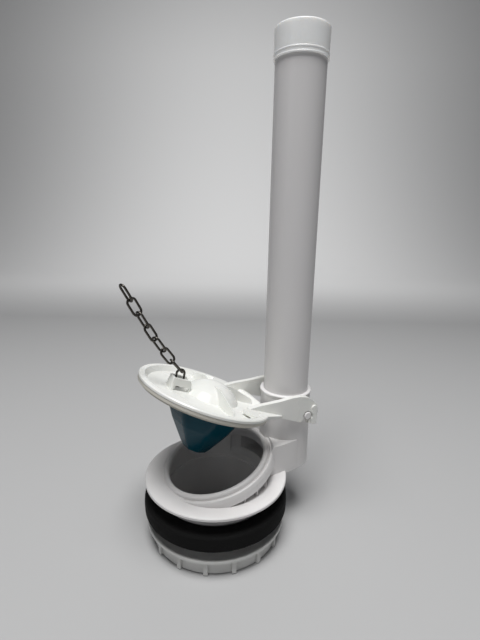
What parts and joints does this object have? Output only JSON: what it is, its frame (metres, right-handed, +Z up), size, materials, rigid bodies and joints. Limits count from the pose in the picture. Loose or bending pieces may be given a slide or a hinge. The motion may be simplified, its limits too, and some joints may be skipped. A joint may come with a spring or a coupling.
{
  "type": "toilet flush valve",
  "caption": "Cistern outlet valve with a threaded shank, sloping round seat, hinged flapper with an air bulb, standing overflow tube and a lifting chain.",
  "frame": {"origin": "on the axis of the threaded shank, at the shank's lower end, where the outlet bore opens", "axes": "+Z up along the shank's axis and the overflow tube; +X from the shank to the overflow tube; +Y by the right-hand rule"},
  "size_m": [0.146, 0.11, 0.3596],
  "materials": {
    "white_moulding": "semi-gloss white moulding",
    "tube_plastic": "smooth extruded white tube",
    "clear_collar": "milky, slightly see-through plastic",
    "flapper_plastic": "milky white moulding",
    "seal_rubber": "soft cream elastomer",
    "bulb_rubber": "glossy dark teal elastomer",
    "gasket_rubber": "matt black sponge rubber",
    "nut_plastic": "satin white moulding",
    "chain_metal": "dull stainless wire"
  },
  "bodies": {
    "valve_body": {"valve_body": "white_moulding", "overflow_tube": "tube_plastic", "tube_collar": "clear_collar"},
    "flapper": {"flapper_frame": "flapper_plastic", "flapper_seal": "seal_rubber", "flapper_bulb": "bulb_rubber"},
    "gasket": {"tank_gasket": "gasket_rubber"},
    "nut": {"lock_nut": "nut_plastic"},
    "link_1": {"chain_link_1": "chain_metal"},
    "link_2": {"chain_link_2": "chain_metal"},
    "link_3": {"chain_link_3": "chain_metal"},
    "link_4": {"chain_link_4": "chain_metal"},
    "link_5": {"chain_link_5": "chain_metal"},
    "link_6": {"chain_link_6": "chain_metal"},
    "link_7": {"chain_link_7": "chain_metal"},
    "link_8": {"chain_link_8": "chain_metal"}
  },
  "joints": [
    {"name": "flapper_hinge", "type": "hinge", "parent": "valve_body", "child": "flapper", "pos_m": [0.0652, 0, 0.0931], "axis": [0, 1, 0], "range_deg": [-36.9, 12]},
    {"name": "gasket_slide", "type": "slide", "parent": "valve_body", "child": "gasket", "axis": [0, 0, 1], "range_m": [0, 0.0117]},
    {"name": "nut_turn", "type": "hinge", "parent": "gasket", "child": "nut", "pos_m": [0, 0, 0.007], "axis": [0, 0, 1], "range_deg": [0, 1404]},
    {"name": "link_1_swing", "type": "hinge", "parent": "flapper", "child": "link_1", "pos_m": [-0.02861, 0, 0.12527], "axis": [0, 1, 0], "range_deg": [-5, 25]},
    {"name": "link_2_swing", "type": "hinge", "parent": "link_1", "child": "link_2", "pos_m": [-0.02632, 0, 0.13352], "axis": [0, 1, 0], "range_deg": [-20, 20]},
    {"name": "link_3_swing", "type": "hinge", "parent": "link_2", "child": "link_3", "pos_m": [-0.03258, 0, 0.14176], "axis": [0.7967, 0.0698, 0.6003], "range_deg": [-20, 20]},
    {"name": "link_4_swing", "type": "hinge", "parent": "link_3", "child": "link_4", "pos_m": [-0.03856, 0, 0.15021], "axis": [-0.2667, 0.9455, -0.1867], "range_deg": [-20, 20]},
    {"name": "link_5_swing", "type": "hinge", "parent": "link_4", "child": "link_5", "pos_m": [-0.04409, 0, 0.15896], "axis": [0.7031, 0.5592, 0.4393], "range_deg": [-20, 20]},
    {"name": "link_6_swing", "type": "hinge", "parent": "link_5", "child": "link_6", "pos_m": [-0.0492, 0, 0.16796], "axis": [-0.4867, 0.829, -0.2754], "range_deg": [-20, 20]},
    {"name": "link_7_swing", "type": "hinge", "parent": "link_6", "child": "link_7", "pos_m": [-0.05415, 0, 0.17705], "axis": [0.8028, 0.4067, 0.4359], "range_deg": [-20, 20]},
    {"name": "link_8_swing", "type": "hinge", "parent": "link_7", "child": "link_8", "pos_m": [-0.05892, 0, 0.18624], "axis": [-0.2146, 0.9703, -0.1117], "range_deg": [-20, 20]}
  ],
  "couplings": [
    {"joint": "gasket_slide", "follows": "nut_turn", "m_per_rad": 0.00047746}
  ]
}
